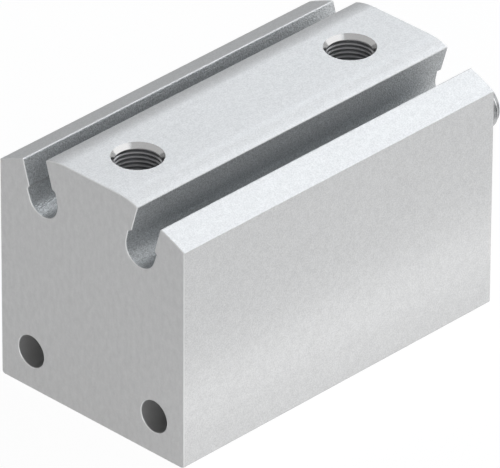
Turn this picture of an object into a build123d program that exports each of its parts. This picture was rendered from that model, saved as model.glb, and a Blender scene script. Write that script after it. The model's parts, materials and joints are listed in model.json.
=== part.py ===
from build123d import *
from math import acos, atan2, cos, hypot, radians, sin, tan
import os

# Compact double acting pneumatic cylinder with two sensor slots, in millimetres.
# The origin is on the cylinder's axis at the rear face. +X runs towards the rod, +Z up
# to the air ports. The rod is drawn retracted.

# Body section, measured from the axis where nothing else is said
body_width = 47.5
axis_height = 24.5
side_above_axis = 21.7
top_above_axis = 27.25
top_flat_half = 7.0
crown_drop = 0.95
lip_rise = 2.6
lip_bulge = 0.1
bottom_round = 0.8
lip_round = 0.3
crown_round = 0.25
edge_break = 0.15

# Sensor slot: a tilted neck over a round channel, measured from the channel's centre
slot_y = 12.52
slot_above_axis = 17.66
slot_tilt = 16.5
slot_round = 3.65
slot_neck = 6.15
slot_ledge_up = 2.4
slot_ledge_drop = 0.55
slot_ledge_width = 0.7
slot_corner = 0.35

# Mounting holes that run the whole length, their height measured from the bottom face
mount_hole_radius = 3.3
mount_hole_spacing = 32.0
mount_hole_height = 8.0

# Air ports, one eighth inch pipe thread at its tap drill size
port_radius = 4.4
port_sink_step = 0.65
port_sink_angle = 65.6
port_floor_wall = 3.45
drill_point_angle = 118.0
port_from_wall = 5.0
port_from_cap = 1.7
air_hole_radius = 1.5
rear_air_gap = 1.0
front_air_gap = 0.4

# Bore and stroke
bore_radius = 16.0
stroke = 40.0
rear_wall = 7.0
end_gap = 0.3
seat_step = 0.5
ring_groove_depth = 0.7
front_land = 2.0
mouth_chamfer = 0.5

# Fits between pieces
running = 0.05
slip = 0.03
side_play = 0.1

# Piston, built up from the rear, its depths measured in from the bore
rear_boss = 2.6
front_boss = 1.2
boss_depth = 1.7
land = 0.9
land_depth = 0.3
seal_groove = 3.2
seal_depth = 3.8
magnet_width = 2.6
magnet_cover = 0.7
magnet_height = 3.3
guide_groove = 2.6
guide_depth = 2.0
bumper_thickness = 2.6
bumper_proud = 1.0
bumper_wall = 1.2

# Piston rod
rod_radius = 6.0
spigot_radius = 4.0
rod_seat_depth = 1.0
neck_length = 6.5
flats_depth = 1.0
flats_start = 1.0
flats_length = 4.5
thread_radius = 5.0
thread_length = 16.4
thread_relief_depth = 0.9
thread_relief_length = 2.0
thread_chamfer = 0.9
neck_chamfer = 0.4

# Piston nut and what lies under it
nut_flats = 13.0
nut_height = 4.0
nut_clearance = 0.3
nut_inset = 0.6
washer_thickness = 0.6
washer_clearance = 0.4
spigot_ring_height = 2.0
spigot_ring_width = 2.0

# Bearing cap
cap_flange = 9.0
nose_length = 2.3
nose_wall = 1.4
bush_wall = 1.0
cap_web = 0.8
cap_web_clear = 0.25
rod_seal_width = 2.6
rod_seal_height = 3.0
seal_washer_width = 0.6
wiper_width = 1.8
wiper_lip = 0.6
wiper_lip_height = 1.3
cap_ring_groove = 2.4
cap_ring_depth = 1.9
cap_ring_from_face = 3.0
cap_chamfer = 0.4

# Seal sections, as shares of their width or of their height
o_ring_round = 0.4
lip_relief = 0.12
lip_mouth = 0.28
lip_waist = 0.4
lip_root = 0.45

# Retaining ring
ring_thickness = 1.2
ring_height = 2.7
ring_offset = 0.6
ear_radius = 2.0
ear_inset = 0.2
ear_angle = 13.0
ear_hole_radius = 1.0
ring_gap = 3.0

# Stations along the axis that follow from the sizes above
piston_x = rear_wall + end_gap + bumper_proud
rear_groove_x = piston_x + rear_boss + land
magnet_x = rear_groove_x + seal_groove + land
split_x = magnet_x + magnet_width
guide_x = split_x + land
front_groove_x = guide_x + guide_groove + land
front_boss_x = front_groove_x + seal_groove + land
piston_end_x = front_boss_x + front_boss
cap_x = piston_end_x + bumper_proud + end_gap + stroke
ring_x = cap_x + cap_flange
ring_groove_width = ring_thickness + side_play
body_length = ring_x + ring_groove_width + front_land
nose_x = ring_x + nose_length
wiper_x = nose_x - wiper_width
seal_cavity_x = wiper_x - seal_washer_width - rod_seal_width
bush_length = seal_cavity_x - cap_web - cap_x

# Radii and depths that follow from the sizes above
seat_radius = bore_radius + seat_step
ring_groove_radius = seat_radius + ring_groove_depth
boss_radius = bore_radius - boss_depth
land_radius = bore_radius - land_depth
seal_groove_radius = bore_radius - seal_depth
guide_groove_radius = bore_radius - guide_depth
magnet_outer = bore_radius - magnet_cover
magnet_inner = magnet_outer - magnet_height
nut_corner_radius = nut_flats / 2 / cos(radians(30))
nut_pocket_radius = nut_corner_radius + nut_clearance
bumper_inner = nut_pocket_radius + bumper_wall
bumper_outer = boss_radius - bumper_wall
spigot_ring_outer = spigot_radius + spigot_ring_height
seal_cavity_radius = rod_radius + rod_seal_height
port_depth = top_above_axis - bore_radius - port_floor_wall

os.makedirs("parts", exist_ok=True)


def slot_point(across, up):
    """A point of the right-hand slot, from its channel's centre, in the section's plane."""
    tilt = radians(slot_tilt)
    y = slot_y + across * cos(tilt) + up * sin(tilt)
    z = slot_above_axis + up * cos(tilt) - across * sin(tilt)
    return (y, z)


def slot_wall(across, z):
    """The point at a height above the axis on the neck wall that lies across the slot."""
    tilt = radians(slot_tilt)
    y = slot_y + (z - slot_above_axis) * tan(tilt) + across / cos(tilt)
    return (y, z)


def turned(points):
    """A solid of revolution about the cylinder's axis from (x, radius) points."""
    with BuildPart() as solid:
        with BuildSketch(Plane.XZ):
            with BuildLine():
                Polyline(*points, close=True)
            make_face()
        revolve(axis=Axis.X)
    return solid


def turned_ring(start, width, inner, outer):
    """A plain ring of rectangular section."""
    end = start + width
    return turned([(start, inner), (end, inner), (end, outer), (start, outer)])


def rounded_ring(start, width, inner, outer):
    """A squeezed O-ring: a rectangle with round corners, turned about the axis."""
    with BuildPart() as solid:
        with BuildSketch(Plane.XZ):
            with Locations((start + width / 2, (inner + outer) / 2)):
                RectangleRounded(width, outer - inner, o_ring_round * min(width, outer - inner))
        revolve(axis=Axis.X)
    return solid


def lip_seal(heel, lips, inner, outer):
    """A U-cup from its heel to its open lips, which may point either way."""
    width = lips - heel
    middle = (inner + outer) / 2
    mouth = lip_mouth * (outer - inner)
    relief = lip_relief * (outer - inner)
    waist = heel + lip_waist * width
    return turned([
        (heel, inner + relief),
        (waist, inner),
        (lips, inner),
        (lips, middle - mouth),
        (heel + lip_root * width, middle),
        (lips, middle + mouth),
        (lips, outer),
        (waist, outer),
        (heel, outer - relief),
    ])


def save(solid, name):
    solid.part.label = name
    export_step(solid.part, f"parts/{name}.step")


# Housing: one extruded profile with both sensor slots, bored blind from the front
half_width = body_width / 2
neck_half = slot_neck / 2
ledge_out = neck_half + slot_ledge_width
ledge_low = slot_ledge_up - slot_ledge_drop
flare = atan2(ledge_low, ledge_out) - acos(slot_round / hypot(ledge_low, ledge_out))
tangent_across = slot_round * cos(flare)
tangent_up = slot_round * sin(flare)
lip_edge = slot_wall(neck_half, side_above_axis + lip_rise)
crown_edge = slot_wall(-neck_half, top_above_axis - crown_drop)
side_edge = (half_width, side_above_axis)

with BuildPart() as housing:
    with BuildSketch(Plane.YZ) as section:
        with BuildLine():
            Polyline((0, -axis_height), (half_width, -axis_height), side_edge)
            SagittaArc(side_edge, lip_edge, -lip_bulge)
            Polyline(
                lip_edge,
                slot_point(neck_half, slot_ledge_up),
                slot_point(ledge_out, ledge_low),
                slot_point(tangent_across, tangent_up),
            )
            ThreePointArc(
                slot_point(tangent_across, tangent_up),
                slot_point(0, -slot_round),
                slot_point(-tangent_across, tangent_up),
            )
            Polyline(
                slot_point(-tangent_across, tangent_up),
                slot_point(-ledge_out, ledge_low),
                slot_point(-neck_half, slot_ledge_up),
                crown_edge,
            )
            flat_end = (top_flat_half, top_above_axis)
            TangentArc(flat_end, crown_edge, tangent=(1, 0))
            Line(flat_end, (0, top_above_axis))
            mirror(about=Plane.YZ)
        make_face()
        for side in (-1, 1):
            for corner, size in (
                ((half_width, -axis_height), bottom_round),
                (lip_edge, lip_round),
                (crown_edge, crown_round),
                (slot_point(ledge_out, ledge_low), slot_corner),
                (slot_point(-ledge_out, ledge_low), slot_corner),
            ):
                place = (side * corner[0], corner[1], 0)
                fillet(section.vertices().sort_by_distance(place)[0], size)
    extrude(amount=body_length)

    # Blind bore, cap seat, ring groove and the chamfered mouth
    with BuildSketch(Plane.XZ):
        with BuildLine():
            Polyline(
                (rear_wall, 0),
                (rear_wall, bore_radius),
                (cap_x, bore_radius),
                (cap_x, seat_radius),
                (ring_x, seat_radius),
                (ring_x, ring_groove_radius),
                (ring_x + ring_groove_width, ring_groove_radius),
                (ring_x + ring_groove_width, seat_radius),
                (body_length - mouth_chamfer, seat_radius),
                (body_length, seat_radius + mouth_chamfer),
                (body_length, 0),
                close=True,
            )
        make_face()
    revolve(axis=Axis.X, mode=Mode.SUBTRACT)

    # Two holes for the mounting screws
    with BuildSketch(Plane.YZ):
        with Locations((0, mount_hole_height - axis_height)):
            with GridLocations(mount_hole_spacing, 0, 2, 1):
                Circle(mount_hole_radius)
    extrude(amount=body_length, mode=Mode.SUBTRACT)

    # Air ports with their drill points, and a small hole from each into the bore
    point_height = port_radius / tan(radians(drill_point_angle / 2))
    rear_port = (rear_wall + port_from_wall, rear_wall + rear_air_gap + air_hole_radius)
    front_port = (cap_x - port_from_cap, cap_x - front_air_gap - air_hole_radius)
    for port_x, air_x in (rear_port, front_port):
        with Locations((port_x, 0, top_above_axis)):
            CounterSinkHole(port_radius, port_radius + port_sink_step, port_depth, port_sink_angle)
        with Locations((port_x, 0, top_above_axis - port_depth)):
            Cone(0, port_radius, point_height, align=(Align.CENTER, Align.CENTER, Align.MAX),
                 mode=Mode.SUBTRACT)
        with Locations((air_x, 0, top_above_axis - port_depth)):
            Hole(air_hole_radius, top_above_axis - port_depth)

    # Broken edges round both end faces
    end_faces = (housing.faces().sort_by(Axis.X)[0], housing.faces().sort_by(Axis.X)[-1])
    for face in end_faces:
        outline = face.edges().filter_by(
            lambda e: e.geom_type != GeomType.CIRCLE or e.radius < bore_radius
        )
        chamfer(outline, edge_break)

save(housing, "housing")

# Bearing cap: flange with its O-ring groove, seal cavity in the nose, bush seat behind
cap_radius = seat_radius - slip
bush_radius = rod_radius + running + bush_wall
cap_groove_x = cap_x + cap_ring_from_face
cap_groove_radius = seat_radius - cap_ring_depth
nose_radius = seal_cavity_radius + nose_wall

bearing_cap = turned([
    (cap_x, bush_radius),
    (cap_x, cap_radius - cap_chamfer),
    (cap_x + cap_chamfer, cap_radius),
    (cap_groove_x, cap_radius),
    (cap_groove_x, cap_groove_radius),
    (cap_groove_x + cap_ring_groove, cap_groove_radius),
    (cap_groove_x + cap_ring_groove, cap_radius),
    (ring_x, cap_radius),
    (ring_x, nose_radius),
    (nose_x - cap_chamfer, nose_radius),
    (nose_x, nose_radius - cap_chamfer),
    (nose_x, seal_cavity_radius),
    (seal_cavity_x, seal_cavity_radius),
    (seal_cavity_x, rod_radius + cap_web_clear),
    (seal_cavity_x - cap_web, rod_radius + cap_web_clear),
    (seal_cavity_x - cap_web, bush_radius),
])
save(bearing_cap, "bearing_cap")

bearing_bush = turned_ring(cap_x, bush_length, rod_radius + running, bush_radius)
save(bearing_bush, "bearing_bush")

cap_o_ring = rounded_ring(
    cap_groove_x + side_play / 2, cap_ring_groove - side_play, cap_groove_radius, seat_radius
)
save(cap_o_ring, "cap_o_ring")

# Rod seal with its lips towards the pressure, a washer, then the wiper in the nose
rod_seal = lip_seal(
    seal_cavity_x + rod_seal_width, seal_cavity_x, rod_radius + running, seal_cavity_radius
)
save(rod_seal, "rod_seal")

seal_washer = turned_ring(
    seal_cavity_x + rod_seal_width, seal_washer_width,
    rod_radius + cap_web_clear, seal_cavity_radius,
)
save(seal_washer, "seal_washer")

wiper_root = (wiper_x + nose_x) / 2
rod_wiper = turned([
    (wiper_x, rod_radius + cap_web_clear),
    (wiper_x, seal_cavity_radius),
    (nose_x, seal_cavity_radius),
    (nose_x, rod_radius + wiper_lip_height),
    (nose_x + wiper_lip, rod_radius + 3 * running),
    (nose_x + wiper_lip, rod_radius + running),
    (wiper_root, rod_radius + cap_web_clear),
])
save(rod_wiper, "rod_wiper")

# Retaining ring: an internal ring, wider opposite its gap, with two plier ears
ring_outer_radius = ring_groove_radius - side_play
ring_inner_radius = ring_outer_radius - ring_height
ear_centre_radius = ring_inner_radius - ear_inset

with BuildPart() as retaining_ring:
    with BuildSketch(Plane.YZ.offset(ring_x)):
        Circle(ring_outer_radius)
        with Locations((0, -ring_offset)):
            Circle(ring_inner_radius, mode=Mode.SUBTRACT)
        with PolarLocations(ear_centre_radius, 2, start_angle=-90 - ear_angle,
                            angular_range=2 * ear_angle, endpoint=True):
            Circle(ear_radius)
        with Locations((0, -ear_centre_radius)):
            Rectangle(ring_gap, 4 * ear_radius, mode=Mode.SUBTRACT)
        with PolarLocations(ear_centre_radius, 2, start_angle=-90 - ear_angle,
                            angular_range=2 * ear_angle, endpoint=True):
            Circle(ear_hole_radius, mode=Mode.SUBTRACT)
    extrude(amount=ring_thickness)
save(retaining_ring, "retaining_ring")

# Piston rod: bar with spanner flats, a relieved and chamfered male thread at its front
# end and a spigot for the piston at its rear end
rod_seat_x = piston_end_x - rod_seat_depth
neck_x = body_length + neck_length
rod_end_x = neck_x + thread_length
spigot_x = piston_x + nut_inset
relief_radius = thread_radius - thread_relief_depth
bar_width = 3 * rod_radius

with BuildPart() as piston_rod:
    with BuildSketch(Plane.XZ):
        with BuildLine():
            Polyline(
                (spigot_x, 0),
                (spigot_x, spigot_radius - neck_chamfer),
                (spigot_x + neck_chamfer, spigot_radius),
                (rod_seat_x, spigot_radius),
                (rod_seat_x, rod_radius),
                (neck_x - neck_chamfer, rod_radius),
                (neck_x, rod_radius - neck_chamfer),
                (neck_x, relief_radius),
                (neck_x + thread_relief_length, relief_radius),
                (neck_x + thread_relief_length, thread_radius),
                (rod_end_x - thread_chamfer, thread_radius),
                (rod_end_x, thread_radius - thread_chamfer),
                (rod_end_x, 0),
                close=True,
            )
        make_face()
    revolve(axis=Axis.X)
    with BuildSketch(Plane.YZ.offset(body_length + flats_start)):
        Rectangle(bar_width, bar_width)
        Rectangle(bar_width, 2 * (rod_radius - flats_depth), mode=Mode.SUBTRACT)
    extrude(amount=flats_length, mode=Mode.SUBTRACT)
save(piston_rod, "piston_rod")

# Rear half of the piston: nut pocket, bumper groove, seal groove and magnet seat
pocket_floor_x = spigot_x + nut_height + washer_thickness
hub_radius = spigot_radius + slip
ring_recess_x = split_x - spigot_ring_width

piston_rear_half = turned([
    (piston_x, nut_pocket_radius),
    (piston_x, bumper_inner),
    (piston_x - bumper_proud + bumper_thickness, bumper_inner),
    (piston_x - bumper_proud + bumper_thickness, bumper_outer),
    (piston_x, bumper_outer),
    (piston_x, boss_radius),
    (piston_x + rear_boss, boss_radius),
    (piston_x + rear_boss, land_radius),
    (rear_groove_x, land_radius),
    (rear_groove_x, seal_groove_radius),
    (rear_groove_x + seal_groove, seal_groove_radius),
    (rear_groove_x + seal_groove, land_radius),
    (magnet_x, land_radius),
    (magnet_x, magnet_inner),
    (split_x, magnet_inner),
    (split_x, spigot_ring_outer),
    (ring_recess_x, spigot_ring_outer),
    (ring_recess_x, hub_radius),
    (pocket_floor_x, hub_radius),
    (pocket_floor_x, nut_pocket_radius),
])
save(piston_rear_half, "piston_rear_half")

# Front half of the piston: guide ring groove, seal groove and the rod's seat
piston_front_half = turned([
    (split_x, hub_radius),
    (split_x, land_radius),
    (guide_x, land_radius),
    (guide_x, guide_groove_radius),
    (guide_x + guide_groove, guide_groove_radius),
    (guide_x + guide_groove, land_radius),
    (front_groove_x, land_radius),
    (front_groove_x, seal_groove_radius),
    (front_groove_x + seal_groove, seal_groove_radius),
    (front_groove_x + seal_groove, land_radius),
    (front_boss_x, land_radius),
    (front_boss_x, boss_radius),
    (piston_end_x, boss_radius),
    (piston_end_x, bumper_outer),
    (piston_end_x + bumper_proud - bumper_thickness, bumper_outer),
    (piston_end_x + bumper_proud - bumper_thickness, bumper_inner),
    (piston_end_x, bumper_inner),
    (piston_end_x, rod_radius + slip),
    (rod_seat_x, rod_radius + slip),
    (rod_seat_x, hub_radius),
])
save(piston_front_half, "piston_front_half")

# Rubber stops set into both ends of the piston
rear_bumper = turned_ring(
    piston_x - bumper_proud, bumper_thickness, bumper_inner, bumper_outer
)
save(rear_bumper, "rear_bumper")

front_bumper = turned_ring(
    piston_end_x + bumper_proud - bumper_thickness, bumper_thickness, bumper_inner, bumper_outer
)
save(front_bumper, "front_bumper")

# Ring magnet for the sensors, and the O-ring that seals the spigot
magnet_ring = turned_ring(magnet_x, magnet_width, magnet_inner, magnet_outer)
save(magnet_ring, "magnet_ring")

spigot_o_ring = rounded_ring(
    ring_recess_x + side_play, spigot_ring_width - side_play, spigot_radius, spigot_ring_outer
)
save(spigot_o_ring, "spigot_o_ring")

# Thin nut and washer that clamp both piston halves to the rod
with BuildPart() as piston_nut:
    with BuildSketch(Plane.YZ.offset(spigot_x)):
        RegularPolygon(nut_corner_radius, 6)
        Circle(spigot_radius, mode=Mode.SUBTRACT)
    extrude(amount=nut_height)
save(piston_nut, "piston_nut")

piston_washer = turned_ring(
    spigot_x + nut_height, washer_thickness,
    spigot_radius, nut_pocket_radius - washer_clearance,
)
save(piston_washer, "piston_washer")

# Seals and guide ring, which slide in the bore and let the piston turn inside them
seal_inner = seal_groove_radius + running
seal_outer = bore_radius - running
piston_seal_rear = lip_seal(
    rear_groove_x + seal_groove - side_play, rear_groove_x + side_play, seal_inner, seal_outer
)
save(piston_seal_rear, "piston_seal_rear")

piston_seal_front = lip_seal(
    front_groove_x + side_play, front_groove_x + seal_groove - side_play, seal_inner, seal_outer
)
save(piston_seal_front, "piston_seal_front")

guide_ring = turned_ring(
    guide_x + side_play, guide_groove - 2 * side_play,
    guide_groove_radius + running, bore_radius - running,
)
save(guide_ring, "guide_ring")
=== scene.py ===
import json
from math import cos, pi, radians, sin, tan

import bmesh
import bpy
from mathutils import Matrix, Vector


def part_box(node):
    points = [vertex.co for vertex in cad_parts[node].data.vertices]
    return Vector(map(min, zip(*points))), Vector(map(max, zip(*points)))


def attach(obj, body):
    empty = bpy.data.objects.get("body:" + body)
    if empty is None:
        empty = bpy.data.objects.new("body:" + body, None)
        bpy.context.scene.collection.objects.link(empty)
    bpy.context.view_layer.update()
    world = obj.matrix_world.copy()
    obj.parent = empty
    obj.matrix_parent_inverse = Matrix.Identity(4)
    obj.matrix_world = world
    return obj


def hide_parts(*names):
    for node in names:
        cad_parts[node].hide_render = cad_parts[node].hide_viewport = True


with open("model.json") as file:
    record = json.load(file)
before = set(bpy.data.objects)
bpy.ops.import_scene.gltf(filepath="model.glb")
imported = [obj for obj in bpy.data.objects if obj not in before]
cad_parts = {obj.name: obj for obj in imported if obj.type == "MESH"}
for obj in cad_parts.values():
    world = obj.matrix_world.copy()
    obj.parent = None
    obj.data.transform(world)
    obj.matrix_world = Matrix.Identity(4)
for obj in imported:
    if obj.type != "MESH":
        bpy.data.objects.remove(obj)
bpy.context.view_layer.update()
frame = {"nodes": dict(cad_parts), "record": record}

# A compact pneumatic cylinder dressed for a studio picture. Lengths are in metres and
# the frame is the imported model's: +X towards the rod, +Z up to the air ports.

MM = 0.001
record = frame["record"]
body_low, body_high = (Vector(corner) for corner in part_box("housing"))
rod_front_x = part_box("piston_rod")[1][0]


def mount(name):
    return next(entry for entry in record["mounts"] if entry["name"] == name)


# The camera that the picture was taken with, as fitted to the body's corners
picture_width = 500
azimuth = radians(45.75)
elevation = radians(31.257)
roll = radians(0.276)
focal_pixels = 9910.8
sensor_width = 36.0
far_limit = 20.0
camera_place = Vector((-1.0851, -1.0974, 0.9525))


def add_camera():
    data = bpy.data.cameras.new("camera")
    data.sensor_fit = "HORIZONTAL"
    data.sensor_width = sensor_width
    data.lens = focal_pixels * sensor_width / picture_width
    data.clip_end = far_limit
    back = Vector((-sin(azimuth) * cos(elevation), -cos(azimuth) * cos(elevation), sin(elevation)))
    level = Vector((cos(azimuth), -sin(azimuth), 0.0))
    over = back.cross(level)
    right = level * cos(roll) + over * sin(roll)
    up = back.cross(right)
    turn = Matrix((right, up, back)).transposed().to_4x4()
    camera = bpy.data.objects.new("camera", data)
    camera.matrix_world = Matrix.Translation(camera_place) @ turn
    bpy.context.scene.collection.objects.link(camera)
    bpy.context.scene.camera = camera


# Studio: big soft lamps all round, turned to the body's middle. The small lamp at the rear
# left brightens the broken edges. The low card, a thin strip beside the body's foot, makes
# the side a little lighter towards the floor. It stands at the body's middle along X, so
# that it stays parallel to the side. Each lamp has its place, its width and height, its
# power and its colour. The surrounding shows white but gives no light of its own.
daylight = (0.9, 0.95, 1.0)
white = (1.0, 1.0, 1.0)
lamps = {
    "behind": ((0.95, 0.95, 0.8), (1.0, 0.8), 0.8, daylight),
    "behind_mid": ((1.05, 0.8, 0.95), (0.5, 0.4), 2.3, daylight),
    "behind_left": ((0.9, 1.1, 0.45), (0.35, 0.25), 0.1, daylight),
    "over_rod": ((1.1, 0.0, 1.3), (0.8, 0.8), 5.9, daylight),
    "right_high": ((0.1, -0.9, 1.1), (0.8, 0.8), 2.4, daylight),
    "right": ((0.65, -1.3, 0.55), (3.2, 0.9), 9.6, white),
    "front": ((-1.1, -1.1, 0.5), (0.8, 0.6), 4.0, white),
    "rear_left": ((-0.75, 0.9, 0.87), (0.3, 0.3), 0.4, white),
    "low_card": ((0.0409, -0.038, -0.0215), (0.22, 0.008), 0.0035, white),
}
surround_light = 0.0
floor_colour = 0.8
floor_light = 0.3
floor_half = 4.0
seen_floor_colour = 0.1
seen_floor_glow = 0.95


def add_lamps():
    centre = (body_low + body_high) / 2
    for name, (place, (width, height), power, colour) in lamps.items():
        data = bpy.data.lights.new(name, "AREA")
        data.shape = "RECTANGLE"
        data.size = width
        data.size_y = height
        data.energy = power
        data.color = colour
        lamp = bpy.data.objects.new(name, data)
        lamp.location = place
        lamp.visible_camera = False
        lamp.rotation_euler = (centre - Vector(place)).to_track_quat("-Z", "Y").to_euler()
        bpy.context.scene.collection.objects.link(lamp)


def seen_directly(nodes, links):
    """One where a surface is looked at, mirrored or seen through, nought where it only lights."""
    path = nodes.new("ShaderNodeLightPath")
    seen = path.outputs["Is Camera Ray"]
    for name in ("Is Glossy Ray", "Is Transmission Ray"):
        either = nodes.new("ShaderNodeMath")
        either.operation = "MAXIMUM"
        links.new(seen, either.inputs[0])
        links.new(path.outputs[name], either.inputs[1])
        seen = either.outputs["Value"]
    return seen


def add_world():
    world = bpy.data.worlds.new("studio")
    world.use_nodes = True
    nodes, links = world.node_tree.nodes, world.node_tree.links
    nodes.clear()
    output = nodes.new("ShaderNodeOutputWorld")
    lighting = nodes.new("ShaderNodeBackground")
    lighting.inputs["Color"].default_value = (*white, 1.0)
    lighting.inputs["Strength"].default_value = surround_light
    shown = nodes.new("ShaderNodeBackground")
    shown.inputs["Color"].default_value = (*white, 1.0)
    mix = nodes.new("ShaderNodeMixShader")
    links.new(seen_directly(nodes, links), mix.inputs["Fac"])
    links.new(lighting.outputs["Background"], mix.inputs[1])
    links.new(shown.outputs["Background"], mix.inputs[2])
    links.new(mix.outputs["Shader"], output.inputs["Surface"])
    bpy.context.scene.world = world


def add_floor():
    mesh = bpy.data.meshes.new("floor")
    signs = ((-1, -1), (1, -1), (1, 1), (-1, 1))
    corners = [(x * floor_half, y * floor_half, body_low.z) for x, y in signs]
    mesh.from_pydata(corners, [], [(0, 1, 2, 3)])
    floor = bpy.data.objects.new("floor", mesh)
    bpy.context.scene.collection.objects.link(floor)
    material = bpy.data.materials.new("floor")
    material.use_nodes = True
    nodes, links = material.node_tree.nodes, material.node_tree.links
    nodes.clear()
    output = nodes.new("ShaderNodeOutputMaterial")
    mix = nodes.new("ShaderNodeMixShader")
    links.new(seen_directly(nodes, links), mix.inputs["Fac"])
    lighting = (1, floor_colour, floor_light)
    shown = (2, seen_floor_colour, seen_floor_glow)
    for socket, colour, light in (lighting, shown):
        paper = nodes.new("ShaderNodeBsdfDiffuse")
        paper.inputs["Color"].default_value = (colour, colour, colour, 1.0)
        glow = nodes.new("ShaderNodeEmission")
        glow.inputs["Color"].default_value = (*white, 1.0)
        glow.inputs["Strength"].default_value = light
        lit_paper = nodes.new("ShaderNodeAddShader")
        links.new(paper.outputs["BSDF"], lit_paper.inputs[0])
        links.new(glow.outputs["Emission"], lit_paper.inputs[1])
        links.new(lit_paper.outputs["Shader"], mix.inputs[socket])
    links.new(mix.outputs["Shader"], output.inputs["Surface"])
    mesh.materials.append(material)


# Materials. Noise spends most of its area between these two values.
noise_low = 0.3
noise_high = 0.7


class Surface:
    """A Principled material and short ways to add procedural layers to it."""

    def __init__(self, name, colour, roughness, metallic=0.0):
        self.material = bpy.data.materials.new(name)
        self.material.use_nodes = True
        self.nodes = self.material.node_tree.nodes
        self.links = self.material.node_tree.links
        self.shader = self.nodes["Principled BSDF"]
        self.shader.inputs["Base Color"].default_value = (*colour, 1.0)
        self.shader.inputs["Roughness"].default_value = roughness
        self.shader.inputs["Metallic"].default_value = metallic
        self.colour = colour
        self.roughness = roughness
        self.place = self.nodes.new("ShaderNodeTexCoord").outputs["Object"]

    def noise(self, size, detail=2.0, stretch=(1.0, 1.0, 1.0)):
        """Noise whose features are about so large, stretched along the axes."""
        mapping = self.nodes.new("ShaderNodeMapping")
        mapping.inputs["Scale"].default_value = [1.0 / factor for factor in stretch]
        texture = self.nodes.new("ShaderNodeTexNoise")
        texture.inputs["Scale"].default_value = 1.0 / size
        texture.inputs["Detail"].default_value = detail
        self.links.new(self.place, mapping.inputs["Vector"])
        self.links.new(mapping.outputs["Vector"], texture.inputs["Vector"])
        return texture.outputs["Fac"]

    def rings(self, spacing):
        """Fine uneven turning marks round the cylinder's axis."""
        flatten = self.nodes.new("ShaderNodeVectorMath")
        flatten.operation = "MULTIPLY"
        flatten.inputs[1].default_value = (0.0, 1.0, 1.0)
        length = self.nodes.new("ShaderNodeVectorMath")
        length.operation = "LENGTH"
        texture = self.nodes.new("ShaderNodeTexNoise")
        texture.noise_dimensions = "1D"
        texture.inputs["Scale"].default_value = 1.0 / spacing
        texture.inputs["Detail"].default_value = 3.0
        self.links.new(self.place, flatten.inputs[0])
        self.links.new(flatten.outputs["Vector"], length.inputs[0])
        self.links.new(length.outputs["Value"], texture.inputs["W"])
        return texture.outputs["Fac"]

    def ramp(self, value):
        """Noise spread so that it covers the whole range from 0 to 1."""
        spread = self.nodes.new("ShaderNodeMapRange")
        spread.inputs["From Min"].default_value = noise_low
        spread.inputs["From Max"].default_value = noise_high
        self.links.new(value, spread.inputs["Value"])
        return spread.outputs["Result"]

    def tint(self, value, factor_low, factor_high):
        """Multiplies the colour so far by a grey between two factors."""
        grey = self.nodes.new("ShaderNodeMapRange")
        grey.inputs["To Min"].default_value = factor_low
        grey.inputs["To Max"].default_value = factor_high
        self.links.new(value, grey.inputs["Value"])
        scale = self.nodes.new("ShaderNodeVectorMath")
        scale.operation = "SCALE"
        self.links.new(grey.outputs["Result"], scale.inputs["Scale"])
        socket = self.shader.inputs["Base Color"]
        if socket.is_linked:
            self.links.new(socket.links[0].from_socket, scale.inputs[0])
        else:
            scale.inputs[0].default_value = self.colour
        self.links.new(scale.outputs["Vector"], socket)

    def vary_roughness(self, value, amount):
        spread = self.nodes.new("ShaderNodeMapRange")
        spread.inputs["To Min"].default_value = self.roughness - amount
        spread.inputs["To Max"].default_value = self.roughness + amount
        self.links.new(value, spread.inputs["Value"])
        self.links.new(spread.outputs["Result"], self.shader.inputs["Roughness"])

    def bump(self, value, depth, strength):
        """Adds relief of a given depth in metres under what is there already."""
        bump = self.nodes.new("ShaderNodeBump")
        bump.inputs["Distance"].default_value = depth
        bump.inputs["Strength"].default_value = strength
        self.links.new(value, bump.inputs["Height"])
        socket = self.shader.inputs["Normal"]
        if socket.is_linked:
            self.links.new(socket.links[0].from_socket, bump.inputs["Normal"])
        self.links.new(bump.outputs["Normal"], socket)


def anodised(name, colour, roughness, metallic):
    """Anodised aluminium, whose oxide layer keeps it from shining at a flat angle."""
    surface = Surface(name, colour, roughness, metallic)
    surface.shader.inputs["Specular IOR Level"].default_value = 0.1
    surface.shader.inputs["Specular Tint"].default_value = (0.3, 0.3, 0.3, 1.0)
    return surface


def skin_aluminium():
    """Fine grained skin of the extruded body."""
    surface = anodised("skin_aluminium", (0.69, 0.69, 0.69), 0.38, 0.35)
    grain = surface.ramp(surface.noise(0.28 * MM, 1.0))
    mottle = surface.ramp(surface.noise(1.1 * MM, 2.0))
    surface.tint(grain, 0.91, 1.09)
    surface.tint(mottle, 0.965, 1.035)
    surface.bump(grain, 0.008 * MM, 0.5)
    return surface.material


def end_aluminium():
    """The two end faces, smoother than the skin and faintly mottled."""
    surface = anodised("end_aluminium", (0.69, 0.69, 0.69), 0.38, 0.35)
    grain = surface.ramp(surface.noise(0.45 * MM, 1.0))
    mottle = surface.ramp(surface.noise(1.3 * MM, 2.0, (1.0, 0.8, 1.4)))
    surface.tint(grain, 0.98, 1.02)
    surface.tint(mottle, 0.96, 1.04)
    return surface.material


def shaded_slot_aluminium():
    """Coarser, speckled skin inside the sensor slots; its darker colour is painted shade for the
    slots' recesses.
    """
    surface = anodised("shaded_slot_aluminium", (0.54, 0.555, 0.565), 0.42, 0.6)
    speckle = surface.ramp(surface.noise(0.28 * MM, 1.0))
    surface.tint(speckle, 0.74, 1.26)
    surface.bump(speckle, 0.07 * MM, 0.9)
    return surface.material


def machined_aluminium():
    """Bright cut metal of the bore."""
    surface = Surface("machined_aluminium", (0.6, 0.605, 0.61), 0.26, 1.0)
    marks = surface.noise(0.12 * MM, 2.0, (8.0, 8.0, 1.0))
    surface.tint(marks, 0.93, 1.05)
    surface.bump(marks, 0.004 * MM, 0.4)
    return surface.material


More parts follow.
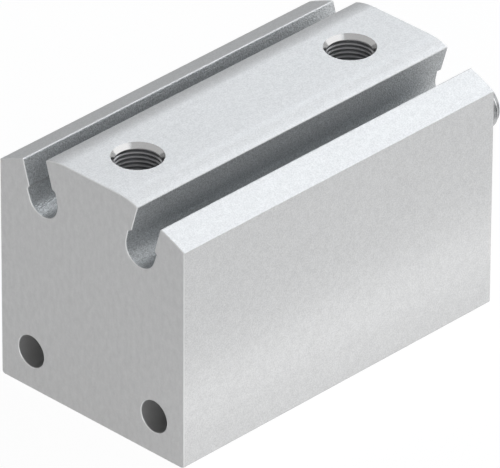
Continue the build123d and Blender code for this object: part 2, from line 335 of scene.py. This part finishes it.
def sink_aluminium():
    """Smooth countersinks of the ports."""
    surface = Surface("sink_aluminium", (0.4, 0.4, 0.4), 0.14, 1.0)
    surface.tint(surface.noise(0.3 * MM), 0.95, 1.04)
    return surface.material


def thread_aluminium():
    """Tapped threads of the ports, dark with cutting marks."""
    surface = Surface("thread_aluminium", (0.4, 0.4, 0.41), 0.28, 0.9)
    surface.tint(surface.noise(0.3 * MM), 0.9, 1.08)
    return surface.material


def crest_aluminium():
    """Flat tops left between the turns of the tapped threads, dull from the drill."""
    surface = anodised("crest_aluminium", (0.74, 0.74, 0.74), 0.4, 0.3)
    surface.tint(surface.noise(0.3 * MM), 0.93, 1.05)
    return surface.material


def drilled_aluminium():
    """Drilled walls of the through holes."""
    surface = anodised("drilled_aluminium", (0.56, 0.56, 0.56), 0.35, 0.45)
    surface.tint(surface.noise(0.2 * MM, 2.0, (1.0, 6.0, 6.0)), 0.93, 1.05)
    return surface.material


def edge_highlight_aluminium():
    """The narrow broken edges round both end faces, painted lighter than the skin as a painted
    highlight along them.
    """
    surface = anodised("edge_highlight_aluminium", (0.86, 0.86, 0.86), 0.42, 0.35)
    surface.tint(surface.noise(0.5 * MM), 0.95, 1.03)
    return surface.material


def turned_aluminium():
    """Lathe-turned aluminium with fine rings about the cylinder's axis."""
    surface = Surface("turned_aluminium", (0.68, 0.69, 0.7), 0.32, 1.0)
    rings = surface.rings(0.09 * MM)
    surface.tint(rings, 0.92, 1.05)
    surface.vary_roughness(surface.noise(2.0 * MM), 0.05)
    surface.bump(rings, 0.006 * MM, 0.5)
    return surface.material


def ground_steel():
    """Ground and polished rod with very fine marks round it."""
    surface = Surface("ground_steel", (0.5, 0.505, 0.51), 0.2, 1.0)
    marks = surface.noise(0.05 * MM, 2.0, (1.0, 14.0, 14.0))
    surface.tint(marks, 0.95, 1.03)
    surface.vary_roughness(marks, 0.04)
    surface.bump(marks, 0.002 * MM, 0.3)
    return surface.material


def spring_steel():
    """Dark phosphated retaining ring."""
    surface = Surface("spring_steel", (0.075, 0.074, 0.073), 0.42, 0.7)
    patches = surface.noise(0.7 * MM, 3.0)
    surface.tint(patches, 0.75, 1.3)
    surface.vary_roughness(patches, 0.1)
    surface.bump(surface.noise(0.1 * MM), 0.004 * MM, 0.5)
    return surface.material


def plated_steel():
    """Zinc plated nut and plain washers."""
    surface = Surface("plated_steel", (0.56, 0.57, 0.585), 0.3, 1.0)
    patches = surface.noise(0.6 * MM, 3.0)
    surface.tint(patches, 0.9, 1.06)
    surface.vary_roughness(patches, 0.08)
    return surface.material


def bearing_bronze():
    """Sintered bronze of the rod's bush, finely pitted."""
    surface = Surface("bearing_bronze", (0.46, 0.3, 0.16), 0.4, 1.0)
    pits = surface.noise(0.12 * MM, 3.0)
    surface.tint(pits, 0.75, 1.15)
    surface.bump(pits, 0.01 * MM, 0.6)
    return surface.material


def rubber(name, colour, roughness):
    """Moulded rubber with a faint bloom."""
    surface = Surface(name, colour, roughness)
    bloom = surface.noise(0.8 * MM, 3.0)
    surface.tint(bloom, 0.8, 1.3)
    surface.vary_roughness(bloom, 0.07)
    surface.bump(surface.noise(0.1 * MM), 0.006 * MM, 0.4)
    return surface.material


def bonded_magnet():
    """Dark ferrite bonded in plastic, slightly sparkling."""
    surface = Surface("bonded_magnet", (0.055, 0.055, 0.06), 0.5, 0.2)
    grains = surface.noise(0.08 * MM, 1.0)
    surface.tint(grains, 0.6, 1.5)
    surface.bump(grains, 0.006 * MM, 0.5)
    return surface.material


def acetal():
    """Smooth off-white bearing plastic of the guide ring."""
    surface = Surface("acetal", (0.74, 0.72, 0.66), 0.38)
    clouds = surface.noise(1.2 * MM, 2.0)
    surface.tint(clouds, 0.95, 1.03)
    surface.shader.inputs["Subsurface Weight"].default_value = 0.08
    surface.shader.inputs["Subsurface Radius"].default_value = (0.001, 0.001, 0.0008)
    return surface.material


# Screw threads, cut into copies of the solids with a helical tool
steps_each_turn = 48
sharp_angle = radians(32)
same_corner = 0.0005 * MM


def thread_tool(name, pitch, flank, root_radius, mouth_radius, root_width, start, end, turn, place):
    """A closed right-handed helical tool about its own Z axis. Its section is a truncated V
    whose narrow end lies at the root radius. It starts at the given angle and runs from
    start to end."""
    steps = round(abs(end - start) / pitch * steps_each_turn)
    spread = abs(mouth_radius - root_radius) * tan(flank / 2)
    section = (
        (mouth_radius, -root_width / 2 - spread),
        (root_radius, -root_width / 2),
        (root_radius, root_width / 2),
        (mouth_radius, root_width / 2 + spread),
    )
    shape = bmesh.new()
    loops = []
    for step in range(steps + 1):
        height = start + (end - start) * step / steps
        angle = turn + 2 * pi * (height - start) / pitch
        loops.append([
            shape.verts.new((radius * cos(angle), radius * sin(angle), height + along))
            for radius, along in section
        ])
    for loop, following in zip(loops, loops[1:]):
        for corner in range(4):
            beside = (corner + 1) % 4
            shape.faces.new((loop[corner], loop[beside], following[beside], following[corner]))
    shape.faces.new(loops[0][::-1])
    shape.faces.new(loops[-1])
    bmesh.ops.recalc_face_normals(shape, faces=shape.faces)
    shape.transform(place)
    mesh = bpy.data.meshes.new(name)
    shape.to_mesh(mesh)
    shape.free()
    tool = bpy.data.objects.new(name, mesh)
    bpy.context.scene.collection.objects.link(tool)
    return tool


def closed_copy(node, name):
    """A copy of a node's mesh with its split corners joined again."""
    mesh = frame["nodes"][node].data.copy()
    mesh.name = name
    shape = bmesh.new()
    shape.from_mesh(mesh)
    bmesh.ops.remove_doubles(shape, verts=shape.verts, dist=same_corner)
    bmesh.ops.recalc_face_normals(shape, faces=shape.faces)
    shape.to_mesh(mesh)
    shape.free()
    if mesh.attributes.get("custom_normal"):
        mesh.attributes.remove(mesh.attributes["custom_normal"])
    mesh.materials.clear()
    piece = bpy.data.objects.new(name, mesh)
    bpy.context.scene.collection.objects.link(piece)
    return piece


def bake_modifiers(piece):
    """Replaces the piece's mesh by the result of its modifiers."""
    graph = bpy.context.evaluated_depsgraph_get()
    mesh = bpy.data.meshes.new_from_object(piece.evaluated_get(graph))
    mesh.name = piece.name
    piece.modifiers.clear()
    piece.data = mesh


def cut(piece, tools):
    """Cuts the tools out of the piece and deletes them."""
    for tool in tools:
        modifier = piece.modifiers.new("cut", "BOOLEAN")
        modifier.operation = "DIFFERENCE"
        modifier.solver = "EXACT"
        modifier.object = tool
    bake_modifiers(piece)
    for tool in tools:
        bpy.data.objects.remove(tool)


def smooth(piece):
    """Smooth shading between sharp edges, led by the larger faces."""
    piece.data.shade_smooth()
    piece.data.set_sharp_from_angle(angle=sharp_angle)
    modifier = piece.modifiers.new("normals", "WEIGHTED_NORMAL")
    modifier.mode = "FACE_AREA"
    modifier.weight = 100
    modifier.keep_sharp = True
    bake_modifiers(piece)


def add_housing(materials):
    """The body with threads cut in both ports and a finish for each kind of surface."""
    pitch = 0.907 * MM
    flank = radians(55)
    major = 4.864 * MM
    past_crest = 0.15 * MM
    root_width = 0.14 * MM
    start = -1.15 * MM
    end = -7.2 * MM
    drill = mount("port_rear")["dims"]["r_mm"] * MM
    tools = []
    ports = [Vector(mount(name)["pos_m"]) for name in ("port_rear", "port_front")]
    for number, port in enumerate(ports):
        top = Matrix.Translation((port.x, port.y, body_high.z))
        tools.append(thread_tool(
            f"port_thread_{number}", pitch, flank, major, drill - past_crest, root_width,
            start, end, pi, top,
        ))
    piece = closed_copy("housing", "housing_threaded")
    cut(piece, tools)
    for material in materials:
        piece.data.materials.append(material)
    paint_housing(piece.data, ports, drill)
    smooth(piece)
    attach(piece, "cylinder")
    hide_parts("housing")


def paint_housing(mesh, ports, drill):
    """Gives each face the material slot of the surface that it lies on."""
    skin, end, in_slot_shaded, bored, sink, thread, drilled, edge_highlight, crest = range(9)
    sink_radius = 5.1 * MM
    crest_reach = drill + 0.05 * MM
    port_low = 4.4 * MM
    holes = mount("mounting_holes")
    hole_radius = holes["dims"]["hole_r_mm"] * MM
    hole_y = holes["dims"]["spacing_x_mm"] * MM / 2
    hole_z = holes["pos_m"][2]
    slot_y, slot_z = mount("sensor_slot_left")["pos_m"][1:]
    slot_reach = 4.0 * MM
    slot_tilt = radians(16.5)
    slot_wall = Vector((0, cos(slot_tilt), -sin(slot_tilt)))
    inside = body_high.y - 4.0 * MM
    rim = 0.16 * MM
    rear_wall = 6.9 * MM
    seat_reach = 17.6 * MM
    thread_top = ports[0].z + mount("port_rear")["dims"]["length_mm"] * MM / 2
    # How much of a face's normal may or has to lie along a direction
    below_level = 0.999
    below_square = 0.98
    lengthwise = 0.5
    crest_slope = 0.3
    towards_wall = 0.9
    for face in mesh.polygons:
        x, y, z = face.center
        across = Vector((0, abs(y), z))
        facing = Vector((0, face.normal.y if y > 0 else -face.normal.y, face.normal.z))
        from_port = min(Vector((x - port.x, y)).length for port in ports)
        from_hole = (across - Vector((0, hole_y, hole_z))).length
        from_slot = (across - Vector((0, slot_y, slot_z))).length
        near_end = min(x - body_low.x, body_high.x - x) < rim
        if from_port < sink_radius and z > port_low and abs(face.normal.z) < below_level:
            on_crest = from_port < crest_reach and abs(face.normal.z) < crest_slope
            face.material_index = sink if z > thread_top else crest if on_crest else thread
        # The broken edges get the lighter edge material, a painted highlight along them.
        elif near_end and abs(face.normal.x) < below_square:
            face.material_index = edge_highlight
        elif from_hole < hole_radius + rim and abs(face.normal.x) < lengthwise:
            face.material_index = drilled
        elif across.length < seat_reach and x > rear_wall:
            face.material_index = bored
        # Slot faces get the darker slot material, painted shade in the recesses.
        elif abs(face.normal.x) < lengthwise and (
                from_slot < slot_reach
                or across.y < inside and z > slot_z and abs(facing.dot(slot_wall)) > towards_wall):
            face.material_index = in_slot_shaded
        else:
            face.material_index = end if near_end else skin


def add_rod(material):
    """The rod with its male thread cut from the relief groove to the chamfered end."""
    pitch = 1.25 * MM
    flank = radians(60)
    minor = 4.233 * MM
    past_crest = 0.12 * MM
    root_width = 0.16 * MM
    relief_start = 1.1 * MM
    thread = mount("rod_thread")
    major = thread["dims"]["r_mm"] * MM
    length = thread["dims"]["length_mm"] * MM
    start = thread["pos_m"][0] - length / 2 - relief_start
    along = Matrix.Rotation(radians(90), 4, "Y")
    tool = thread_tool(
        "rod_thread_tool", pitch, flank, minor, major + past_crest, root_width,
        start, rod_front_x + pitch, 0.0, along,
    )
    piece = closed_copy("piston_rod", "piston_rod_threaded")
    cut(piece, [tool])
    piece.data.materials.append(material)
    smooth(piece)
    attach(piece, "rod")
    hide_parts("piston_rod")


def dress_node(node, material):
    """Gives a node of the frame one material all over."""
    mesh = frame["nodes"][node].data
    if mesh.materials:
        mesh.materials[0] = material
    else:
        mesh.materials.append(material)


add_camera()
add_lamps()
add_world()
add_floor()

turned = turned_aluminium()
steel = plated_steel()
seal_rubber = rubber("seal_rubber", (0.02, 0.02, 0.02), 0.5)
wiper_rubber = rubber("wiper_rubber", (0.017, 0.017, 0.019), 0.36)
bumper_rubber = rubber("bumper_rubber", (0.03, 0.03, 0.03), 0.62)

add_housing([
    skin_aluminium(), end_aluminium(), shaded_slot_aluminium(), machined_aluminium(),
    sink_aluminium(), thread_aluminium(), drilled_aluminium(), edge_highlight_aluminium(),
    crest_aluminium(),
])
add_rod(ground_steel())

finishes = {
    "bearing_cap": turned,
    "bearing_bush": bearing_bronze(),
    "cap_o_ring": seal_rubber,
    "rod_seal": seal_rubber,
    "seal_washer": steel,
    "rod_wiper": wiper_rubber,
    "retaining_ring": spring_steel(),
    "piston_rear_half": turned,
    "piston_front_half": turned,
    "piston_nut": steel,
    "piston_washer": steel,
    "spigot_o_ring": seal_rubber,
    "magnet_ring": bonded_magnet(),
    "rear_bumper": bumper_rubber,
    "front_bumper": bumper_rubber,
    "piston_seal_rear": seal_rubber,
    "piston_seal_front": seal_rubber,
    "guide_ring": acetal(),
}
for node, material in finishes.items():
    dress_node(node, material)

bpy.context.scene.view_settings.view_transform = "Standard"
